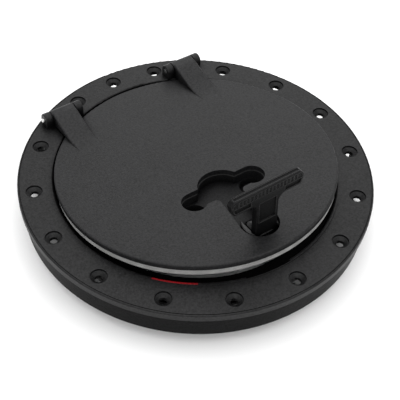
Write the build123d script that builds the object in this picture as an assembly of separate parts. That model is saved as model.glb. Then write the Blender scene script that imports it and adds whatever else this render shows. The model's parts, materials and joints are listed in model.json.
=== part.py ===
from build123d import *
import os
from math import sin, cos, radians, sqrt

os.makedirs("parts", exist_ok=True)

# Round deck hatch, millimetres. Z = 0 is the deck surface that the skirt stands on, +Z is up,
# the hinges are on the +Y side and the latch is on the -Y side. The lid and the latch are drawn
# shut, then turned together about the hinge pins by ajar_angle, which is the rest position.

# ---- driving dimensions: frame ----
frame_height = 25.4
flange_radius = 139.5
flange_thickness = 5.7
skirt_radius = 136.6
skirt_wall = 3.0
spigot_depth = 14.0
opening_y = 1.5
collar_inner_radius = 105.0
collar_wall = 3.0
rebate_radius = 111.3
rebate_wall = 2.7
rebate_depth = 11.0
ledge_inner_radius = 99.0
ledge_thickness = 3.4
bead_radius = 108.2
bead_height = 0.7
bead_foot_half_width = 1.0
bead_top_half_width = 0.4
flange_edge_fillet = 1.2
rebate_edge_fillet = 1.4
collar_root_height = 0.5
deck_gasket_inner_radius = 110.0
deck_gasket_outer_radius = 115.0
deck_gasket_thickness = 1.5
seat_top = 4.0
seat_top_width = 3.0
web_overlap = 0.5

# ---- driving dimensions: fixing screws ----
bolt_circle_radius = 127.0
screw_hole_radius = 3.0
recess_radius = 6.5
recess_depth = 1.2
cone_depth = 1.9
cone_top_inset = 0.7
hinge_side_hole_angle = 17.4
hole_angles = [0, hinge_side_hole_angle, 45, 67.5, 90, 112.5, 135, 157.5, 180,
               -157.5, -135, -112.5, -90, -67.5, -45, -hinge_side_hole_angle]
window_angles = [-45, -hinge_side_hole_angle, 0, hinge_side_hole_angle, 45, 67.5, 88, 104]
window_width = 17.0
window_height = 15.5
window_corner = 4.0
rib_count = 16
rib_thickness = 2.5
rim_groove_radius = 138.0
rim_groove_width = 0.6
rim_groove_depth = 0.5
notch_depth = 1.9
notch_sector = (177, 196)
indicator_depth = 2.1
indicator_height = 2.6
indicator_sector = (214, 231)

# ---- driving dimensions: lid ----
lid_radius = 110.5
lid_plate = 4.3
lid_edge_fillet = 1.2
gasket_outer_radius = 110.0
gasket_inner_radius = 106.5
gasket_height = 5.4
lid_rib_inner_radius = 103.5
lid_rib_depth = 9.0
panel_radius = 97.0
panel_top_depth = 10.0
panel_thickness = 2.0
panel_screw_circle = 91.0
panel_screw_count = 8
panel_screw_radius = 1.5
panel_boss_radius = 4.0
stiffener_inner_radius = 60.0
stiffener_outer_radius = 62.0
stiffener_depth = 7.5

# ---- driving dimensions: hinges ----
hinge_axis_y = 109.3
hinge_axis_lift = 6.2
hinge_centre_x = 58.9
barrel_length = 20.3
barrel_radius = 5.2
lug_radius = 5.2
lug_length = 6.3
washer_thickness = 0.4
washer_radius = 4.4
pin_radius = 2.0
pin_overhang = 1.6
pin_end_fillet = 0.6
bush_radius = 2.9
running_gap = 0.05
lug_edge_radius = 0.7
arm_start_y = 58.0
arm_toe_y = 74.5
arm_crown_y = 103.0
arm_root_depth = 3.0
arm_toe_blend = 60.0
arm_crown_blend = 12.0
arm_edge_radius = 1.5
ajar_angle = 4.8

# ---- driving dimensions: pocket and tray ----
latch_y = -80.0
pivot_depth = 12.0
slot_front_y = -43.0
slot_back_y = -25.5
lobe_radius = 10.0
lobe_x = 26.8
lobe_y = -35.5
scoop_radius = 19.3
scoop_y = -34.0
well_radius = 15.0
well_neck_half_width = 15.2
slot_neck_half_width = 10.0
neck_corner_radius = 4.0
pocket_depth = 12.5
finger_well_radius = 9.7
finger_well_depth = 18.5
tray_wall = 1.8
tray_rim_width = 3.0
tray_floor = 2.5
tray_flange = 2.5
finger_well_wall = 2.2
finger_well_floor = 2.0
tray_pad_radius = 4.5
tray_screw_radius = 1.3
tray_screw_hole = 1.6
tray_screw_bite = 2.6
panel_pocket_gap = 8.5
tray_gasket_thickness = 1.0
tray_screw_points = [(side * x, y) for x, y in [(43.0, -36.0), (16.5, -14.5), (19.5, -62.0), (20.0, -87.0)]
                     for side in (-1, 1)]

# ---- driving dimensions: latch ----
hub_radius = 12.0
hub_corner_radius = 13.2
hub_half_width = 10.0
yoke_gap = 0.3
yoke_radius = 13.9
yoke_top_depth = 0.8
yoke_rim_radius = 1.2
yoke_flange_radius = 17.5
yoke_flange_thickness = 2.0
yoke_screw_points = [(side * 12.6, latch_y + dy) for side in (-1, 1) for dy in (-9.6, 9.6)]
wiper_inner_radius = 13.5
wiper_outer_radius = 14.2
wiper_groove_radius = 15.6
wiper_lip = 0.8
yoke_screw_radius = 1.0
yoke_screw_bite = 3.8
yoke_bore_gap = 0.4
hook_slot_gap = 0.6
hub_pin_radius = 2.5
hub_bush_radius = 3.5
handle_offset = 5.5
handle_thickness = 6.0
bar_top_half_length = 33.4
bar_bottom_half_length = 29.9
bar_height = 12.6
bar_centre_height = 46.5
bar_top_corner_radius = 5.0
bar_bottom_corner_radius = 3.0
stem_width = 19.4
stem_flare_radius = 6.5
handle_edge_radius = 0.7
rim_width = 1.6
band_height = 6.2
band_relief = 0.5
panel_start_x = 15.0
panel_relief = 1.1
stem_recess_low = 21.6
stem_recess_half_width = 7.4
ridge_groove_width = 2.4
ridge_groove_depth = 0.7
grip_rib_pitch = 3.2
grip_rib_width = 1.3
grip_rib_count = 8
hook_width = 14.0
hook_thickness = 3.5
hook_drop = 3.8
hook_reach = 20.0
hook_root = 6.0
hook_chamfer = 1.8
hook_screw_x = 4.0
hook_screw_depth = 8.4
hook_screw_radius = 1.0
hook_head_radius = 1.9
hook_head_height = 1.2
hook_screw_bite = 2.2
roll_pin_radius = 1.2
roll_pin_half = 4.5
roll_pin_height = 7.0
handle_foot_height = 4.0
keeper_thickness = 1.0
keeper_inner_radius = 99.3
keeper_outer_radius = 104.0
keeper_half_width = 14.0
keeper_screw_circle = 101.8
keeper_screw_x = 10.5
keeper_screw_radius = 1.2
keeper_screw_bite = 2.6
keeper_head_radius = 2.2
keeper_head_height = 1.2
hub_pin_half = 13.0

# ---- derived positions ----
top = frame_height
flange_bottom = top - flange_thickness
ledge_top = top - rebate_depth
ledge_bottom = ledge_top - ledge_thickness
collar_outer_radius = collar_inner_radius + collar_wall
hinge_axis_z = top + hinge_axis_lift
pivot_z = top - pivot_depth
plate_bottom = top - lid_plate
floor_top = top - pocket_depth
floor_bottom = floor_top - tray_floor
tray_flange_top = plate_bottom - tray_gasket_thickness
tray_flange_bottom = tray_flange_top - tray_flange
panel_top = top - panel_top_depth
panel_bottom = panel_top - panel_thickness
hinge_line = Axis((0, hinge_axis_y, hinge_axis_z), (-1, 0, 0))
UP = (Align.CENTER, Align.CENTER, Align.MIN)

parts = {}


def on_circle(radius, angle):
    """Point at an angle measured from +Y towards +X."""
    return radius * sin(radians(angle)), radius * cos(radians(angle))


def post(radius, low, high, x=0.0, y=0.0):
    return Pos(x, y, low) * Cylinder(radius, high - low, align=UP)


def ring(inner, outer, low, high, y=0.0):
    return post(outer, low, high, 0, y) - post(inner, low - 1, high + 1, 0, y)


def block(x0, x1, y0, y1, z0, z1):
    return Pos((x0 + x1) / 2, (y0 + y1) / 2, (z0 + z1) / 2) * Box(x1 - x0, y1 - y0, z1 - z0)


def rod_x(radius, x0, x1, y, z):
    return Pos((x0 + x1) / 2, y, z) * Rot(0, 90, 0) * Cylinder(radius, x1 - x0)


def rod_y(radius, y0, y1, x, z):
    return Pos(x, (y0 + y1) / 2, z) * Rot(90, 0, 0) * Cylinder(radius, y1 - y0)


def turned(points, y=0.0):
    """Solid of revolution about a vertical line from a closed outline of (radius, height) points."""
    return Pos(0, y, 0) * revolve(Plane.XZ * make_face(Polyline(*points, close=True)), Axis.Z)


def wedge(first, last):
    """Vertical sector of the whole part between two angles."""
    corners = [(0, 0)] + [on_circle(200, first + (last - first) * step / 2) for step in range(3)]
    return Pos(0, 0, -50) * extrude(make_face(Polyline(*corners, close=True)), 120)


def circle_edges(body, radius, height):
    return [e for e in body.edges().filter_by(GeomType.CIRCLE)
            if abs(e.radius - radius) < 0.01 and abs(e.center().Z - height) < 0.01]


def hinge_spans(side):
    """X spans of the outer lug, the barrel and the inner lug of one hinge."""
    half = barrel_length / 2
    gap = washer_thickness + 0.1
    spans = {
        "barrel": (hinge_centre_x - half, hinge_centre_x + half),
        "inner": (hinge_centre_x - half - gap - lug_length, hinge_centre_x - half - gap),
        "outer": (hinge_centre_x + half + gap, hinge_centre_x + half + gap + lug_length),
    }
    return {name: tuple(sorted((side * a, side * b))) for name, (a, b) in spans.items()}


# ---- frame ring: flange, skirt, rebate, ledge, through-deck collar, ribs and hinge lugs ----
def flange_and_skirt():
    inner, skirt_inner = rebate_radius + rebate_edge_fillet + 0.2, skirt_radius - skirt_wall
    return turned([(inner, flange_bottom), (skirt_inner, flange_bottom), (skirt_inner, 0.0),
                   (skirt_radius, 0.0), (skirt_radius, flange_bottom), (flange_radius, flange_bottom),
                   (flange_radius, top), (inner, top)])


def rebate_and_ledge():
    wall_radius = rebate_radius + rebate_wall
    return turned([
        (ledge_inner_radius, ledge_bottom), (wall_radius, ledge_bottom), (wall_radius, top),
        (rebate_radius, top), (rebate_radius, ledge_top), (bead_radius + bead_foot_half_width, ledge_top),
        (bead_radius + bead_top_half_width, ledge_top + bead_height),
        (bead_radius - bead_top_half_width, ledge_top + bead_height),
        (bead_radius - bead_foot_half_width, ledge_top), (ledge_inner_radius, ledge_top)], opening_y)


def collar_and_seat():
    """Collar through the deck, with the seat that presses the deck gasket, on the screw circle's centre."""
    root_radius = collar_outer_radius + deck_gasket_thickness - collar_root_height
    web_top = ledge_bottom + web_overlap
    return turned([
        (collar_inner_radius, web_top), (collar_inner_radius, -spigot_depth),
        (collar_outer_radius, -spigot_depth), (collar_outer_radius, collar_root_height),
        (root_radius, deck_gasket_thickness), (deck_gasket_outer_radius, deck_gasket_thickness),
        (deck_gasket_outer_radius, seat_top), (deck_gasket_outer_radius - seat_top_width, seat_top),
        (rebate_radius + 0.7, web_top)])


def frame_rib(index):
    half = rib_thickness / 2
    rib = block(-half, half, rebate_radius + 0.5, skirt_radius - 1.5, seat_top, flange_bottom + 0.5)
    return rib.rotate(Axis.Z, -(index + 0.5) * 360 / rib_count)


def screw_hole(angle):
    x, y = on_circle(bolt_circle_radius, angle)
    recess = post(recess_radius, top - recess_depth, top + 1, x, y)
    cone = Pos(x, y, top - recess_depth - cone_depth / 2) * Cone(
        screw_hole_radius, recess_radius - cone_top_inset, cone_depth)
    return recess + cone + post(screw_hole_radius, flange_bottom - 1, top, x, y)


def skirt_window(angle):
    half = window_width / 2
    spring_height = window_height - window_corner
    opening = block(-half, half, skirt_radius - skirt_wall - 2, skirt_radius + 2, -1, spring_height)
    head = Pos(0, skirt_radius, spring_height) * Rot(90, 0, 0) * SlotCenterToCenter(
        window_width - 2 * window_corner, 2 * window_corner)
    return (opening + extrude(head, 7, both=True)).rotate(Axis.Z, -angle)


def hinge_lug(span):
    x0, x1 = span
    foot = block(x0, x1, hinge_axis_y - lug_radius, hinge_axis_y + lug_radius, top - 1, hinge_axis_z)
    lug = foot + rod_x(lug_radius, x0, x1, hinge_axis_y, hinge_axis_z)
    rims = [e for e in lug.edges() if e.center().Z > hinge_axis_z + 1 and min(
        abs(e.center().X - x0), abs(e.center().X - x1)) < 0.01]
    lug = fillet(rims, lug_edge_radius)
    lug -= post(rebate_radius, top - 2, top, 0, opening_y)
    return lug - rod_x(pin_radius, x0 - 1, x1 + 1, hinge_axis_y, hinge_axis_z)


def keeper_screw_points():
    y = opening_y - sqrt(keeper_screw_circle ** 2 - keeper_screw_x ** 2)
    return [(-keeper_screw_x, y), (keeper_screw_x, y)]


def make_frame_ring():
    body = flange_and_skirt() + rebate_and_ledge() + collar_and_seat()
    for index in range(rib_count):
        body += frame_rib(index)
    body -= post(rebate_radius, ledge_top + 1.5, top + 1, 0, opening_y)
    body = fillet(circle_edges(body, flange_radius, top), flange_edge_fillet)
    body = fillet(circle_edges(body, rebate_radius, top), rebate_edge_fillet)
    body -= ring(rim_groove_radius - rim_groove_width / 2, rim_groove_radius + rim_groove_width / 2,
                 top - rim_groove_depth, top + 1)
    for angle in hole_angles:
        body -= screw_hole(angle)
    for angle in window_angles:
        body -= skirt_window(angle)
    for side in (-1, 1):
        body += hinge_lug(hinge_spans(side)["inner"])
        body += hinge_lug(hinge_spans(side)["outer"])
    pry_notch = ring(rebate_radius - 1, rebate_radius + notch_depth, ledge_top + 1.5, top + 1, opening_y)
    body -= pry_notch & wedge(*notch_sector)
    for x, y in keeper_screw_points():
        body -= post(keeper_screw_radius, ledge_bottom - 1, ledge_bottom + keeper_screw_bite, x, y)
    return body


frame = make_frame_ring()
indicator = ring(rebate_radius - 0.5, rebate_radius + indicator_depth, top - indicator_height, top + 1,
                 opening_y)
indicator &= wedge(*indicator_sector)
parts["open_indicator"] = frame & indicator
parts["frame_ring"] = frame - indicator
parts["deck_gasket"] = ring(deck_gasket_inner_radius, deck_gasket_outer_radius, 0.0, deck_gasket_thickness)

# ---- keeper plate under the ledge, where the hook pulls ----
keeper_bottom = ledge_bottom - keeper_thickness
keeper = ring(keeper_inner_radius, keeper_outer_radius, keeper_bottom, ledge_bottom, opening_y)
keeper &= block(-keeper_half_width, keeper_half_width, -110, -90, 0, 30)
keeper_screws = []
for x, y in keeper_screw_points():
    keeper -= post(keeper_screw_radius, 0, top, x, y)
    shank = post(keeper_screw_radius, keeper_bottom, ledge_bottom + keeper_screw_bite, x, y)
    head = post(keeper_head_radius, keeper_bottom - keeper_head_height, keeper_bottom, x, y)
    keeper_screws.append(shank + head)
parts["keeper_plate"] = keeper
parts["keeper_screws"] = Compound(children=keeper_screws)

# ---- hinge pins, washers and bushes ----
for name, side in (("left", -1), ("right", 1)):
    spans = hinge_spans(side)
    inner_end = min(abs(v) for v in spans["inner"])
    outer_end = max(abs(v) for v in spans["outer"]) + pin_overhang
    x0, x1 = sorted((side * inner_end, side * outer_end))
    pin = rod_x(pin_radius, x0, x1, hinge_axis_y, hinge_axis_z)
    tip = [e for e in pin.edges() if abs(abs(e.center().X) - outer_end) < 0.01]
    parts[f"hinge_pin_{name}"] = fillet(tip, pin_end_fillet)
    x0, x1 = spans["barrel"]
    clearance_bore = rod_x(pin_radius + running_gap, x0 - 5, x1 + 5, hinge_axis_y, hinge_axis_z)
    washers = [rod_x(washer_radius, a, a + washer_thickness, hinge_axis_y, hinge_axis_z) - clearance_bore
               for a in (x0 - 0.05 - washer_thickness, x1 + 0.05)]
    parts[f"hinge_washers_{name}"] = Compound(children=washers)
    parts[f"hinge_bush_{name}"] = rod_x(bush_radius, x0, x1, hinge_axis_y, hinge_axis_z) - clearance_bore


# ---- pocket outline, shared by the lid cover, the tray gasket and the tray ----
def pocket_outline(grow=0.0):
    slot_width = slot_back_y - slot_front_y
    outline = Pos(0, slot_front_y + slot_width / 2) * Rectangle(2 * lobe_x, slot_width)
    for side in (-1, 1):
        outline += Pos(side * lobe_x, lobe_y) * Circle(lobe_radius)
    scoop_height = scoop_radius + scoop_y - slot_front_y
    outline += (Pos(0, scoop_y) * Circle(scoop_radius)) & (
        Pos(0, slot_front_y + scoop_height / 2) * Rectangle(3 * scoop_radius, scoop_height))
    outline += make_face(Polyline(
        (-slot_neck_half_width, slot_front_y + 2), (slot_neck_half_width, slot_front_y + 2),
        (slot_neck_half_width, slot_front_y), (well_neck_half_width, latch_y + 1),
        (-well_neck_half_width, latch_y + 1), (-slot_neck_half_width, slot_front_y), close=True))
    outline += Pos(0, latch_y) * Circle(well_radius)
    corners = [v for v in outline.vertices()
               if abs(abs(v.X) - slot_neck_half_width) < 0.05 and abs(v.Y - slot_front_y) < 0.05]
    outline = fillet(corners, neck_corner_radius)
    return offset(outline, grow) if grow else outline


def pocket_prism(low, high, grow=0.0):
    return Pos(0, 0, low) * extrude(pocket_outline(grow), high - low)


# ---- lid cover ----
def hinge_arm(side):
    x0, x1 = hinge_spans(side)["barrel"]
    crown = hinge_axis_z + barrel_radius
    root = top - arm_root_depth
    profile = make_face(Polyline(
        (hinge_axis_y, crown), (arm_crown_y, crown - 0.3), (arm_toe_y, top), (arm_start_y, top),
        (arm_start_y, root), (hinge_axis_y, root), close=True))
    for y, blend in ((arm_toe_y, arm_toe_blend), (arm_crown_y, arm_crown_blend)):
        profile = fillet([v for v in profile.vertices() if abs(v.X - y) < 0.01], blend)
    arm = Pos(x0, 0, 0) * extrude(Plane.YZ * profile, x1 - x0)
    rims = [e for e in arm.edges() if e.center().Z > top - 0.01 and min(
        abs(e.center().X - x0), abs(e.center().X - x1)) < 0.01 and e.center().Y < hinge_axis_y - 0.01]
    arm = fillet(rims, arm_edge_radius)
    arm -= ring(lid_radius - 0.8, 150.0, 0.0, top + 0.8, opening_y)
    arm += rod_x(barrel_radius, x0, x1, hinge_axis_y, hinge_axis_z)
    return arm - rod_x(bush_radius, x0 - 1, x1 + 1, hinge_axis_y, hinge_axis_z)


def panel_screw_points():
    step = 360 / panel_screw_count
    points = [on_circle(panel_screw_circle, (index + 0.5) * step) for index in range(panel_screw_count)]
    return [(x, y + opening_y) for x, y in points]


def make_lid_cover():
    body = post(lid_radius, plate_bottom, top, 0, opening_y)
    body = fillet(circle_edges(body, lid_radius, top), lid_edge_fillet)
    body += ring(lid_rib_inner_radius, gasket_inner_radius, top - lid_rib_depth, plate_bottom, opening_y)
    stiffener = ring(stiffener_inner_radius, stiffener_outer_radius, top - stiffener_depth, plate_bottom,
                     opening_y)
    body += stiffener - block(-70, 70, -100, 0, 0, plate_bottom)
    for x, y in panel_screw_points():
        body += post(panel_boss_radius, panel_top, plate_bottom, x, y)
    body -= pocket_prism(plate_bottom - 1, top + 1)
    for side in (-1, 1):
        body += hinge_arm(side)
    for x, y in panel_screw_points():
        body -= post(panel_screw_radius, panel_top - 1, panel_top + 7.5, x, y)
    for x, y in tray_screw_points:
        body -= post(tray_screw_radius, plate_bottom - 1, plate_bottom + tray_screw_bite + 0.2, x, y)
    return body


parts["lid_cover"] = make_lid_cover()
parts["lid_gasket"] = ring(gasket_inner_radius, gasket_outer_radius,
                           plate_bottom - gasket_height, plate_bottom, opening_y)


# ---- tray under the pocket, with a finger well at each end of the bar slot ----
def tray_rim(low, high):
    rim = pocket_prism(low, high, tray_rim_width)
    for x, y in tray_screw_points:
        rim += post(tray_pad_radius, low, high, x, y)
    return rim


def make_tray():
    well_bottom = top - finger_well_depth
    body = pocket_prism(floor_bottom, tray_flange_top, tray_wall)
    body += tray_rim(tray_flange_bottom, tray_flange_top)
    for side in (-1, 1):
        body += post(finger_well_radius + finger_well_wall, well_bottom - finger_well_floor, floor_top,
                     side * lobe_x, lobe_y)
    body -= pocket_prism(floor_top, tray_flange_top + 1)
    for side in (-1, 1):
        body -= post(finger_well_radius, well_bottom, floor_top + 1, side * lobe_x, lobe_y)
    body -= post(wiper_outer_radius, floor_bottom - 1, floor_top + 1, 0, latch_y)
    body -= post(wiper_groove_radius, floor_bottom + wiper_lip, floor_top - wiper_lip, 0, latch_y)
    for x, y in yoke_screw_points:
        body -= post(yoke_screw_radius, floor_bottom - 1, floor_bottom + yoke_screw_bite + 0.2, x, y)
    for x, y in tray_screw_points:
        body -= post(tray_screw_hole, tray_flange_bottom - 1, tray_flange_top + 1, x, y)
    return body


parts["pocket_tray"] = make_tray()
tray_seal = tray_rim(tray_flange_top, plate_bottom) - pocket_prism(tray_flange_top - 1, plate_bottom + 1)
for x, y in tray_screw_points:
    tray_seal -= post(tray_screw_hole, 0, top, x, y)
parts["tray_gasket"] = tray_seal


def pan_screw(shank_radius, head_radius, head_height, seat, tip, x, y):
    """Screw driven upwards: its slotted head hangs below the seat."""
    head_bottom = seat - head_height
    half_slot, slot_depth = 0.4, 0.7
    body = post(shank_radius, seat, tip, x, y) + post(head_radius, head_bottom, seat, x, y)
    return body - block(x - head_radius, x + head_radius, y - half_slot, y + half_slot,
                        head_bottom - 1, head_bottom + slot_depth)


parts["tray_screws"] = Compound(children=[
    pan_screw(tray_screw_radius, 2.8, 1.8, tray_flange_bottom, plate_bottom + tray_screw_bite, x, y)
    for x, y in tray_screw_points])

# ---- inner panel that closes the lid from below ----
panel = post(panel_radius, panel_bottom, panel_top, 0, opening_y)
panel -= pocket_prism(panel_bottom - 1, panel_top + 1, tray_rim_width + panel_pocket_gap)
for x, y in panel_screw_points():
    panel -= post(panel_screw_radius + 0.2, 0, top, x, y)
parts["lid_inner_panel"] = panel
parts["panel_screws"] = Compound(children=[
    pan_screw(panel_screw_radius, 3.0, 2.0, panel_bottom, panel_top + 5.0, x, y)
    for x, y in panel_screw_points()])

# ---- latch yoke, pin and the rubber wiper around the hub, all carried by the tray ----
def make_yoke():
    flange_low = floor_bottom - yoke_flange_thickness
    body = post(yoke_radius, flange_low, top - yoke_top_depth, 0, latch_y)
    body = fillet(circle_edges(body, yoke_radius, top - yoke_top_depth), yoke_rim_radius)
    slot_half = hub_half_width + yoke_gap
    body -= block(-slot_half, slot_half, latch_y - 20, latch_y + 20, 0, top)
    flange = ring(hub_corner_radius + yoke_bore_gap, yoke_flange_radius, flange_low, floor_bottom, latch_y)
    hook_slot_half = hook_width / 2 + hook_slot_gap
    body += flange - block(-hook_slot_half, hook_slot_half, latch_y - 20, latch_y, 0, top)
    for x, y in yoke_screw_points:
        body -= post(yoke_screw_radius, 0, floor_bottom + yoke_screw_bite + 0.2, x, y)
    return body - rod_x(hub_pin_radius, -hub_pin_half, hub_pin_half, latch_y, pivot_z)


parts["latch_yoke"] = make_yoke()
parts["yoke_screws"] = Compound(children=[
    pan_screw(yoke_screw_radius, 1.9, 1.3, floor_bottom - yoke_flange_thickness,
              floor_bottom + yoke_screw_bite, x, y)
    for x, y in yoke_screw_points])
parts["latch_pin"] = rod_x(hub_pin_radius, -hub_pin_half, hub_pin_half, latch_y, pivot_z)
wiper = ring(wiper_inner_radius, wiper_outer_radius, floor_bottom, floor_top, latch_y)
wiper += ring(wiper_outer_radius - 0.1, wiper_groove_radius, floor_bottom + wiper_lip,
              floor_top - wiper_lip, latch_y)
parts["wiper_seal"] = wiper & block(-hub_half_width, hub_half_width, latch_y - 20, latch_y + 20, 0, top)


# ---- latch: hub, bush, T handle and hook, drawn upright about the latch pin ----
def tee_outline():
    low, high = bar_centre_height - bar_height / 2, bar_centre_height + bar_height / 2
    bar = make_face(Polyline(
        (-bar_bottom_half_length, low), (bar_bottom_half_length, low),
        (bar_top_half_length, high), (-bar_top_half_length, high), close=True))
    bar = fillet(bar.vertices().group_by(Axis.Y)[-1], bar_top_corner_radius)
    bar = fillet([v for v in bar.vertices() if abs(v.Y - low) < 0.01], bar_bottom_corner_radius)
    stem_height = low + 2 - handle_foot_height
    tee = bar + Pos(0, handle_foot_height + stem_height / 2) * Rectangle(stem_width, stem_height)
    inner_corners = [v for v in tee.vertices()
                     if abs(abs(v.X) - stem_width / 2) < 0.01 and abs(v.Y - low) < 0.01]
    return fillet(inner_corners, stem_flare_radius)


def handle_face(offset_y):
    """Upright plane facing -Y, at a distance in front of the latch pin."""
    return Plane((0, offset_y, 0), x_dir=(1, 0, 0), z_dir=(0, -1, 0))


def latch_place(shape):
    return Pos(0, latch_y, pivot_z) * shape


front_face = -handle_offset - handle_thickness / 2
back_face = -handle_offset + handle_thickness / 2


def handle_recesses():
    """Sunk areas of either face, each with its depth: grip band, two end panels and the stem."""
    low, high = bar_centre_height - bar_height / 2, bar_centre_height + bar_height / 2
    inside = offset(tee_outline(), -rim_width)
    band = inside & Pos(0, high - band_height / 2) * Rectangle(100, band_height)
    panel_top_edge = high - band_height - rim_width / 2
    length, height = 40.0, panel_top_edge - low
    centre_x, centre_z = panel_start_x + length / 2, low + height / 2
    panels = [inside & Pos(side * centre_x, centre_z) * Rectangle(length, height) for side in (-1, 1)]
    stem_height = low - stem_recess_low
    stem = Pos(0, stem_recess_low + stem_height / 2) * Rectangle(2 * stem_recess_half_width, stem_height)
    return [(band, band_relief), (stem, panel_relief)] + [(panel, panel_relief) for panel in panels]


def make_handle():
    plate = extrude(handle_face(front_face) * tee_outline(), -handle_thickness)
    across = plate.faces().sort_by(Axis.Y)
    plate = fillet(across[0].edges() + across[-1].edges(), handle_edge_radius)
    for outline, depth in handle_recesses():
        plate -= extrude(handle_face(front_face) * outline, -depth)
        plate -= extrude(handle_face(back_face) * outline, depth)
    high = bar_centre_height + bar_height / 2
    for index in range(-grip_rib_count, grip_rib_count + 1):
        x = index * grip_rib_pitch
        plate += block(x - grip_rib_width / 2, x + grip_rib_width / 2, front_face + 0.1, back_face - 0.1,
                       high - band_height - 0.3, high - rim_width + 0.2)
    groove_half_length = bar_top_half_length - bar_top_corner_radius
    groove_half = ridge_groove_width / 2
    plate -= block(-groove_half_length, groove_half_length, -handle_offset - groove_half,
                   -handle_offset + groove_half, high - ridge_groove_depth, high + 1)
    return plate


def make_hook():
    tip = -hook_reach
    arm = block(-hook_width / 2, hook_width / 2, hook_drop, hook_drop + hook_thickness, tip, -hook_root)
    corner = [e for e in arm.edges().filter_by(Axis.X)
              if abs(e.center().Z - tip) < 0.01 and e.center().Y > hook_drop + 1]
    return chamfer(corner, hook_chamfer)


hub = rod_x(hub_radius, -hub_half_width, hub_half_width, 0, 0) & Rot(0, 90, 0) * Sphere(hub_corner_radius)
hub -= rod_x(hub_bush_radius, -20, 20, 0, 0)
handle = make_handle()
hook = make_hook()
foot_slot = Pos(0, handle_foot_height + hub_radius) * Rectangle(stem_width, 2 * hub_radius)
hub -= extrude(handle_face(front_face) * foot_slot, -handle_thickness)
hook_face = hook_drop + hook_thickness
hub -= block(-hook_width / 2, hook_width / 2, hook_drop, hook_face, -2 * hub_radius, -hook_root)
hook_screws = []
for x in (-hook_screw_x, hook_screw_x):
    shank = rod_y(hook_screw_radius, hook_drop - hook_screw_bite, hook_face, x, -hook_screw_depth)
    hub -= shank
    hook -= shank
    hub -= rod_y(hook_head_radius + 0.3, hook_face, 2 * hub_radius, x, -hook_screw_depth)
    head = rod_y(hook_head_radius, hook_face, hook_face + hook_head_height, x, -hook_screw_depth)
    hook_screws.append(shank + head)
roll_pin = rod_y(roll_pin_radius, -handle_offset - roll_pin_half, -handle_offset + roll_pin_half,
                 0, roll_pin_height)
roll_pin &= Sphere(hub_radius - 0.2)
hub -= roll_pin
handle -= roll_pin
hub_bush = rod_x(hub_bush_radius, -hub_half_width, hub_half_width, 0, 0)
hub_bush -= rod_x(hub_pin_radius + running_gap, -20, 20, 0, 0)

parts["latch_hub"] = latch_place(hub)
parts["hub_bush"] = latch_place(hub_bush)
parts["t_handle"] = latch_place(handle)
parts["handle_roll_pin"] = latch_place(roll_pin)
parts["latch_hook"] = latch_place(hook)
parts["hook_screws"] = latch_place(Compound(children=hook_screws))

# ---- everything on the lid is turned to the ajar rest position ----
lid_nodes = [
    "lid_cover", "lid_gasket", "pocket_tray", "tray_gasket", "tray_screws", "lid_inner_panel",
    "panel_screws", "hinge_bush_left", "hinge_bush_right", "latch_yoke", "yoke_screws", "latch_pin",
    "wiper_seal", "latch_hub", "hub_bush", "t_handle", "handle_roll_pin", "latch_hook", "hook_screws"]

for name, shape in parts.items():
    if name in lid_nodes:
        shape = shape.rotate(hinge_line, ajar_angle)
    export_step(shape, f"parts/{name}.step")
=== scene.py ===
import json
import math

import bmesh
import bpy
from mathutils import Matrix, Vector


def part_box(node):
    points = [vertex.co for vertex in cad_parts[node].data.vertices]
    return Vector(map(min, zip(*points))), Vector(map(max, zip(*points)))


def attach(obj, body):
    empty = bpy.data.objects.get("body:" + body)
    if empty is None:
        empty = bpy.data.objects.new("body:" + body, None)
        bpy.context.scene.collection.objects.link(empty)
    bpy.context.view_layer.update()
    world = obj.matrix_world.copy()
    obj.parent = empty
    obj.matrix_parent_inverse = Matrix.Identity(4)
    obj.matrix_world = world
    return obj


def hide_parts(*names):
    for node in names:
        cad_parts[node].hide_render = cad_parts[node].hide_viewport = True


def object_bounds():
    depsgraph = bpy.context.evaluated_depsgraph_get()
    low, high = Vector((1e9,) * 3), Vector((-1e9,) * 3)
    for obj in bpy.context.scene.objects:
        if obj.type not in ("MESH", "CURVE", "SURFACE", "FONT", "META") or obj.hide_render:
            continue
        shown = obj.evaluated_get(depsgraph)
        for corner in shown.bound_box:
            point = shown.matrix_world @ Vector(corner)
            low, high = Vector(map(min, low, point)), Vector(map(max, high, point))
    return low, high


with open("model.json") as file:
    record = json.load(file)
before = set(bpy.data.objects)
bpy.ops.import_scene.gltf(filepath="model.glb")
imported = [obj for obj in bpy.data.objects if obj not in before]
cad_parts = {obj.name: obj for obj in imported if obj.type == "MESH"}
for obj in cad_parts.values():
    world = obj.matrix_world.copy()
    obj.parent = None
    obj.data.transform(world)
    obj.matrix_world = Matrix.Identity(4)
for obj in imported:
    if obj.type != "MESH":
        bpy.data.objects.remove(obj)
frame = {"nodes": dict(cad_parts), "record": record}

# Looks for a round deck hatch. Metres, in the CAD frame: +Z up, hinges on +Y, latch on -Y.
cad_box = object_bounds()
record = frame["record"]
joints = {joint["name"]: joint for joint in record["behaviour"]["joints"]}
MM = 0.001

# The few lengths of the CAD source that the record doesn't give, in millimetres, with the lid shut.
SEAL_WIDTH, SEAL_HEIGHT = 3.5, 5.4
LID_PLATE_BOTTOM, LID_CENTRE_Y = 21.1, 1.5
FLANGE_UNDERSIDE = 19.7
FLANGE_TOP, SCREW_CIRCLE_RADIUS = 25.4, 127.0

SHADER_SAMPLES = 6
SKIRT_SHADE = 0.26
FLOOR_HALF_SIZE = 9.0


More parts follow.
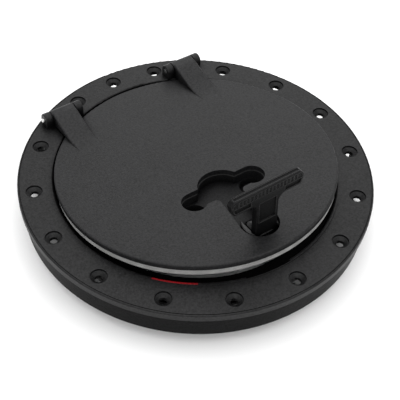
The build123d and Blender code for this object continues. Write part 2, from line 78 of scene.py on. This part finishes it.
# ---------------------------------------------------------------- node helpers
class Graph:
    """Short way to build one material's node tree around a Principled shader."""

    def __init__(self, name):
        self.material = bpy.data.materials.new(name)
        self.material.use_nodes = True
        self.nodes = self.material.node_tree.nodes
        self.links = self.material.node_tree.links
        self.shader = self.nodes["Principled BSDF"]
        self.place = self.add("ShaderNodeTexCoord").outputs["Object"]

    def add(self, kind, **settings):
        node = self.nodes.new(kind)
        for key, value in settings.items():
            setattr(node, key, value)
        return node

    def join(self, source, target):
        self.links.new(source, target)

    def noise(self, size_mm, detail=2.0, roughness=0.5, stretch=(1, 1, 1)):
        """Noise whose blobs are about size_mm across."""
        texture = self.add("ShaderNodeTexNoise")
        texture.inputs["Scale"].default_value = 1.0 / (size_mm * MM)
        texture.inputs["Detail"].default_value = detail
        texture.inputs["Roughness"].default_value = roughness
        if stretch == (1, 1, 1):
            self.join(self.place, texture.inputs["Vector"])
        else:
            mapping = self.add("ShaderNodeMapping")
            mapping.inputs["Scale"].default_value = stretch
            self.join(self.place, mapping.inputs["Vector"])
            self.join(mapping.outputs["Vector"], texture.inputs["Vector"])
        return texture.outputs["Fac"]

    def pebbles(self, size_mm):
        texture = self.add("ShaderNodeTexVoronoi", feature="SMOOTH_F1")
        texture.inputs["Scale"].default_value = 1.0 / (size_mm * MM)
        self.join(self.place, texture.inputs["Vector"])
        return texture.outputs["Distance"]

    def spread(self, source, low, high, to_low, to_high):
        """Maps the range low..high of a value to to_low..to_high."""
        node = self.add("ShaderNodeMapRange")
        for key, value in (("From Min", low), ("From Max", high), ("To Min", to_low), ("To Max", to_high)):
            node.inputs[key].default_value = value
        self.join(source, node.inputs["Value"])
        return node.outputs["Result"]

    def ramp(self, source, stops):
        node = self.add("ShaderNodeValToRGB")
        elements = node.color_ramp.elements
        while len(elements) < len(stops):
            elements.new(0.5)
        for element, (place, colour) in zip(elements, stops):
            element.position = place
            element.color = (*colour, 1.0)
        self.join(source, node.inputs["Fac"])
        return node.outputs["Color"]

    def blend(self, factor, first, second):
        """Mixes two colours, each a tuple or a socket. A Mix node's colour sockets are 6, 7 and output 2."""
        node = self.add("ShaderNodeMix", data_type="RGBA")
        for index, value in ((0, factor), (6, first), (7, second)):
            if isinstance(value, tuple):
                node.inputs[index].default_value = (*value, 1.0)
            else:
                self.join(value, node.inputs[index])
        return node.outputs[2]

    def add_up(self, *terms):
        """Weighted sum of (value, weight) pairs."""
        total = None
        for value, weight in terms:
            node = self.add("ShaderNodeMath", operation="MULTIPLY_ADD")
            self.join(value, node.inputs[0])
            node.inputs[1].default_value = weight
            node.inputs[2].default_value = 0.0
            if total is not None:
                self.join(total, node.inputs[2])
            total = node.outputs[0]
        return total

    def times(self, first, second):
        node = self.add("ShaderNodeMath", operation="MULTIPLY")
        self.join(first, node.inputs[0])
        self.join(second, node.inputs[1])
        return node.outputs[0]

    def openness(self, reach_mm):
        """1 on open faces, towards 0 inside holes, gaps and corners."""
        occlusion = self.add("ShaderNodeAmbientOcclusion", samples=SHADER_SAMPLES)
        occlusion.inputs["Distance"].default_value = reach_mm * MM
        return occlusion.outputs["AO"]

    def edge_mask(self, radius_mm, sharp=8.0):
        """About 1 along convex edges and corners, 0 on faces."""
        bevel = self.add("ShaderNodeBevel", samples=SHADER_SAMPLES)
        bevel.inputs["Radius"].default_value = radius_mm * MM
        geometry = self.add("ShaderNodeNewGeometry")
        dot = self.add("ShaderNodeVectorMath", operation="DOT_PRODUCT")
        self.join(bevel.outputs["Normal"], dot.inputs[0])
        self.join(geometry.outputs["Normal"], dot.inputs[1])
        return self.spread(dot.outputs["Value"], 1.0, 1.0 - 1.0 / sharp, 0.0, 1.0)

    def bump(self, height, depth_mm, strength=1.0, edge_mm=0.0):
        node = self.add("ShaderNodeBump")
        node.inputs["Strength"].default_value = strength
        node.inputs["Distance"].default_value = depth_mm * MM
        self.join(height, node.inputs["Height"])
        if edge_mm:
            bevel = self.add("ShaderNodeBevel", samples=SHADER_SAMPLES)
            bevel.inputs["Radius"].default_value = edge_mm * MM
            self.join(bevel.outputs["Normal"], node.inputs["Normal"])
        self.join(node.outputs["Normal"], self.shader.inputs["Normal"])


# ---------------------------------------------------------------- materials
def moulded(name, colour, pale, rough, grain_mm, grain_depth_mm, edge_mm=0.35, edge_wear_and_highlight=0.25, gloss=0.5,
            shaded_below_mm=None, hollow_mm=7.0, wear_and_highlight_lift=0.01):
    """Glass filled plastic: pebbled grain, cloudy colour, edges paled as worn edges and painted highlight,
    hollows darkened with painted shade.

    Below shaded_below_mm, where the skirt hangs under the flange, painted shade makes it darker and less
    shiny.
    edge_wear_and_highlight is how strongly the edges are paled, partly as worn edges and partly as a painted
    highlight; wear_and_highlight_lift is how much paler the paled colour is."""
    g = Graph(name)
    cloud = g.noise(35.0, detail=4.0, roughness=0.55)
    speck = g.noise(grain_mm * 1.5, detail=4.0, roughness=0.75)
    pebble = g.pebbles(grain_mm)
    tone = g.add_up((cloud, 0.35), (speck, 0.65))
    body = g.ramp(tone, [(0.34, tuple(c * 0.35 for c in colour)), (0.50, colour), (0.66, pale)])
    # Edges are paled: partly worn edges, partly a painted highlight.
    edges = g.spread(g.edge_mask(edge_mm * 1.6), 0.25, 1.0, 0.0, edge_wear_and_highlight)
    worn_and_highlit_colour = g.blend(edges, body, tuple(min(1.0, c * 2.2 + wear_and_highlight_lift) for c in pale))
    roughness = g.spread(g.add_up((speck, 0.6), (cloud, 0.4)), 0.3, 0.7, rough - 0.07, rough + 0.09)
    g.join(roughness, g.shader.inputs["Roughness"])
    # Painted shade: colour and specular are darkened inside holes, gaps and corners.
    painted_shade = g.spread(g.openness(hollow_mm), 0.35, 0.95, 0.12, 1.0)
    # Painted shade on the skirt under the flange overhang.
    if shaded_below_mm is not None:
        split = g.add("ShaderNodeSeparateXYZ")
        g.join(g.place, split.inputs["Vector"])
        low, high = (shaded_below_mm - 0.6) * MM, (shaded_below_mm + 0.2) * MM
        painted_shade = g.times(painted_shade, g.spread(split.outputs["Z"], low, high, SKIRT_SHADE, 1.0))
    # Specular level is lowered where the painted shade falls.
    sheen = g.times(painted_shade, g.spread(speck, 0.35, 0.65, gloss * 0.75, gloss * 1.25))
    g.join(sheen, g.shader.inputs["Specular IOR Level"])
    # Base colour darkens where the painted shade falls.
    g.join(g.blend(painted_shade, tuple(c * 0.15 for c in colour), worn_and_highlit_colour), g.shader.inputs["Base Color"])
    g.bump(g.add_up((pebble, 1.0), (speck, 0.8)), grain_depth_mm, 1.0, edge_mm)
    return g.material


def rubber(name, colour, pale, rough, pore_mm):
    """Sponge rubber: fine pores, soft sheen, slightly chalky."""
    g = Graph(name)
    cloud = g.noise(9.0, detail=3.0)
    pores = g.noise(pore_mm, detail=4.0, roughness=0.75)
    tone = g.add_up((cloud, 0.5), (pores, 0.5))
    g.join(g.ramp(tone, [(0.32, tuple(c * 0.8 for c in colour)), (0.5, colour), (0.68, pale)]),
           g.shader.inputs["Base Color"])
    g.join(g.spread(pores, 0.3, 0.7, rough - 0.08, rough + 0.08), g.shader.inputs["Roughness"])
    g.shader.inputs["Sheen Weight"].default_value = 0.15
    g.shader.inputs["Sheen Roughness"].default_value = 0.5
    g.bump(pores, 0.06, 0.8)
    return g.material


def steel(name, colour, rough, stretch):
    """Turned or brushed stainless steel with fine lines along one direction."""
    g = Graph(name)
    lines = g.noise(0.35, detail=5.0, roughness=0.7, stretch=stretch)
    smear = g.noise(6.0, detail=3.0)
    tone = g.add_up((lines, 0.6), (smear, 0.4))
    tint = g.ramp(tone, [(0.3, tuple(c * 0.82 for c in colour)), (0.7, colour)])
    g.join(tint, g.shader.inputs["Base Color"])
    g.join(g.spread(tone, 0.3, 0.7, rough - 0.08, rough + 0.1), g.shader.inputs["Roughness"])
    g.shader.inputs["Metallic"].default_value = 1.0
    g.bump(lines, 0.012, 0.6, 0.2)
    return g.material


MATERIALS = {
    "frame_plastic": moulded(
        "frame_plastic", colour=(0.0060, 0.0060, 0.0063), pale=(0.0100, 0.0100, 0.0104), rough=0.42,
        grain_mm=1.1, grain_depth_mm=0.10, gloss=0.20, shaded_below_mm=FLANGE_UNDERSIDE),
    "lid_plastic": moulded(
        "lid_plastic", colour=(0.0088, 0.0088, 0.0093), pale=(0.0140, 0.0140, 0.0147), rough=0.45,
        grain_mm=1.0, grain_depth_mm=0.10, gloss=0.20),
    "tray_plastic": moulded(
        "tray_plastic", colour=(0.0068, 0.0068, 0.0072), pale=(0.0110, 0.0110, 0.0116), rough=0.50,
        grain_mm=0.8, grain_depth_mm=0.05, edge_wear_and_highlight=0.12, gloss=0.14, hollow_mm=8.0),
    # Handle and hub edges get a strong painted highlight on top of worn edges.
    "handle_plastic": moulded(
        "handle_plastic", colour=(0.0036, 0.0036, 0.0038), pale=(0.0070, 0.0070, 0.0073), rough=0.36,
        grain_mm=0.6, grain_depth_mm=0.03, edge_mm=0.75, edge_wear_and_highlight=0.9, gloss=0.10, hollow_mm=6.0, wear_and_highlight_lift=0.03),
    "hub_plastic": moulded(
        "hub_plastic", colour=(0.0014, 0.0014, 0.0016), pale=(0.0026, 0.0026, 0.0028), rough=0.17,
        grain_mm=0.9, grain_depth_mm=0.006, edge_mm=0.8, edge_wear_and_highlight=0.4, gloss=0.34, wear_and_highlight_lift=0.03),
    "lid_seal_rubber": rubber(
        "lid_seal_rubber", colour=(0.235, 0.235, 0.230), pale=(0.36, 0.36, 0.355), rough=0.75,
        pore_mm=0.5),
    "seal_rubber": rubber(
        "seal_rubber", colour=(0.008, 0.008, 0.008), pale=(0.014, 0.014, 0.013), rough=0.7,
        pore_mm=0.5),
    "stainless": steel(
        "stainless", colour=(0.66, 0.66, 0.65), rough=0.26, stretch=(0.05, 1.0, 1.0)),
    "bearing_plastic": moulded(
        "bearing_plastic", colour=(0.020, 0.020, 0.020), pale=(0.035, 0.035, 0.034), rough=0.4,
        grain_mm=0.7, grain_depth_mm=0.01, edge_wear_and_highlight=0.1, gloss=0.3),
    "indicator_red": moulded(
        "indicator_red", colour=(0.22, 0.005, 0.008), pale=(0.30, 0.008, 0.012), rough=0.4,
        grain_mm=0.7, grain_depth_mm=0.02, edge_wear_and_highlight=0.1, gloss=0.2),
}

slot_of = {part["node"]: part["material_slot"] for part in record["subparts"]}
for node_name, node_object in frame["nodes"].items():
    material = MATERIALS[slot_of[node_name]]
    if node_object.material_slots:
        for material_slot in node_object.material_slots:
            material_slot.material = material
    else:
        node_object.data.materials.append(material)


# ---------------------------------------------------------------- lid seal, a moulded sponge ring
def turn_about_hinge(angle):
    """Matrix that turns the lid about its hinge pins."""
    hinge = joints["lid_hinge"]
    place = Vector(hinge["pos_m"])
    turn = Matrix.Rotation(angle, 4, Vector(hinge["axis"]))
    return Matrix.Translation(place) @ turn @ Matrix.Translation(-place)


def seal_section(half_width, half_height, steps=40):
    """Closed outline of the seal's section: a rounded bar that bulges a little and has a groove round it."""
    points = []
    for step in range(steps):
        angle = 2 * math.pi * step / steps
        across, along = math.cos(angle), math.sin(angle)
        x = math.copysign(abs(across) ** 0.45, across) * half_width
        z = math.copysign(abs(along) ** 0.5, along) * half_height
        groove = 0.35 * MM * math.exp(-(z / (0.35 * MM)) ** 2)
        points.append((x - math.copysign(groove, x), z))
    return points


def make_lid_seal():
    ajar = math.radians(-joints["lid_hinge"]["range_deg"][0])
    low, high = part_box("lid_gasket")
    outer = (high.x - low.x) / 2
    width, height = SEAL_WIDTH * MM, SEAL_HEIGHT * MM
    plate_bottom, centre_y = LID_PLATE_BOTTOM * MM, LID_CENTRE_Y * MM
    middle = outer - width / 2
    section = seal_section(width / 2, height / 2)
    steps = 360
    mesh = bmesh.new()
    loops = []
    for step in range(steps):
        angle = 2 * math.pi * step / steps
        swell = 0.06 * MM * math.sin(7 * angle) + 0.04 * MM * math.sin(23 * angle + 1.0)
        east, north = math.sin(angle), math.cos(angle)
        loops.append([mesh.verts.new(((middle + x) * east, centre_y + (middle + x) * north,
                                      plate_bottom - height / 2 + z * (1 + swell / height)))
                      for x, z in section])
    for here, after in zip(loops, loops[1:] + loops[:1]):
        for index in range(len(section)):
            following = (index + 1) % len(section)
            mesh.faces.new((here[index], here[following], after[following], after[index]))
    bmesh.ops.recalc_face_normals(mesh, faces=mesh.faces)
    data = bpy.data.meshes.new("lid_seal")
    mesh.to_mesh(data)
    mesh.free()
    data.transform(turn_about_hinge(ajar))
    for polygon in data.polygons:
        polygon.use_smooth = True
    data.materials.append(MATERIALS["lid_seal_rubber"])
    seal = bpy.data.objects.new("lid_seal", data)
    bpy.context.scene.collection.objects.link(seal)
    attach(seal, "lid")
    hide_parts("lid_gasket")


make_lid_seal()


# ---------------------------------------------------------------- camera
def aim_camera():
    """Camera at the view's azimuth, height and roll; aim and distance are in screw circle radii."""
    screw_radius, flange_top = SCREW_CIRCLE_RADIUS * MM, FLANGE_TOP * MM
    aim, distance = Vector((-0.122, -0.214, 0.0)), 5.453
    azimuth, height, roll = math.radians(-37.01), math.radians(47.32), math.radians(3.19)
    back = Vector((math.sin(azimuth) * math.cos(height), -math.cos(azimuth) * math.cos(height),
                   math.sin(height)))
    place = (aim + back * distance) * screw_radius + Vector((0, 0, flange_top))
    right = (-back).cross(Vector((0, 0, 1))).normalized()
    up = right.cross(-back)
    turned_right = right * math.cos(roll) + up * math.sin(roll)
    turned_up = up * math.cos(roll) - right * math.sin(roll)
    data = bpy.data.cameras.new("camera")
    data.sensor_width = 36.0
    data.lens = 81.535
    data.clip_start, data.clip_end = 0.01, 20.0
    data.dof.use_dof = False
    camera = bpy.data.objects.new("camera", data)
    bpy.context.scene.collection.objects.link(camera)
    turn = Matrix((turned_right, turned_up, back)).transposed().to_4x4()
    camera.matrix_world = Matrix.Translation(place) @ turn
    bpy.context.scene.camera = camera


# ---------------------------------------------------------------- floor and light
def add_floor(level):
    mesh = bpy.data.meshes.new("floor")
    grid = bmesh.new()
    bmesh.ops.create_grid(grid, x_segments=8, y_segments=8, size=FLOOR_HALF_SIZE)
    grid.to_mesh(mesh)
    grid.free()
    floor = bpy.data.objects.new("floor", mesh)
    floor.location.z = level
    bpy.context.scene.collection.objects.link(floor)
    g = Graph("floor_paper")
    g.join(g.ramp(g.noise(400.0), [(0.35, (0.86, 0.86, 0.86)), (0.65, (0.90, 0.90, 0.90))]),
           g.shader.inputs["Base Color"])
    g.shader.inputs["Roughness"].default_value = 0.9
    mesh.materials.append(g.material)


def add_light(name, place, target, size, power):
    data = bpy.data.lights.new(name, "AREA")
    data.shape = "RECTANGLE"
    data.size, data.size_y = size
    data.energy = power
    light = bpy.data.objects.new(name, data)
    light.location = place
    light.rotation_euler = (Vector(target) - Vector(place)).to_track_quat("-Z", "Y").to_euler()
    bpy.context.scene.collection.objects.link(light)


def light_room():
    world = bpy.data.worlds.new("room")
    world.use_nodes = True
    background = world.node_tree.nodes["Background"]
    background.inputs["Color"].default_value = (1.0, 1.0, 1.0, 1.0)
    background.inputs["Strength"].default_value = 0.9
    bpy.context.scene.world = world
    centre = (0.0, 0.0, 0.02)
    for name, place, size, watts in (
            ("overhead", (0.0, 0.0, 1.7), (2.6, 2.6), 32.0),
            ("back", (0.92, 1.22, 0.95), (1.6, 0.9), 5.5),
            ("front", (-0.9, -1.1, 1.3), (0.30, 0.30), 3.6)):
        add_light(name, place, centre, size, watts)


add_floor(cad_box[0][2])
light_room()
aim_camera()
bpy.context.scene.view_settings.view_transform = "Standard"
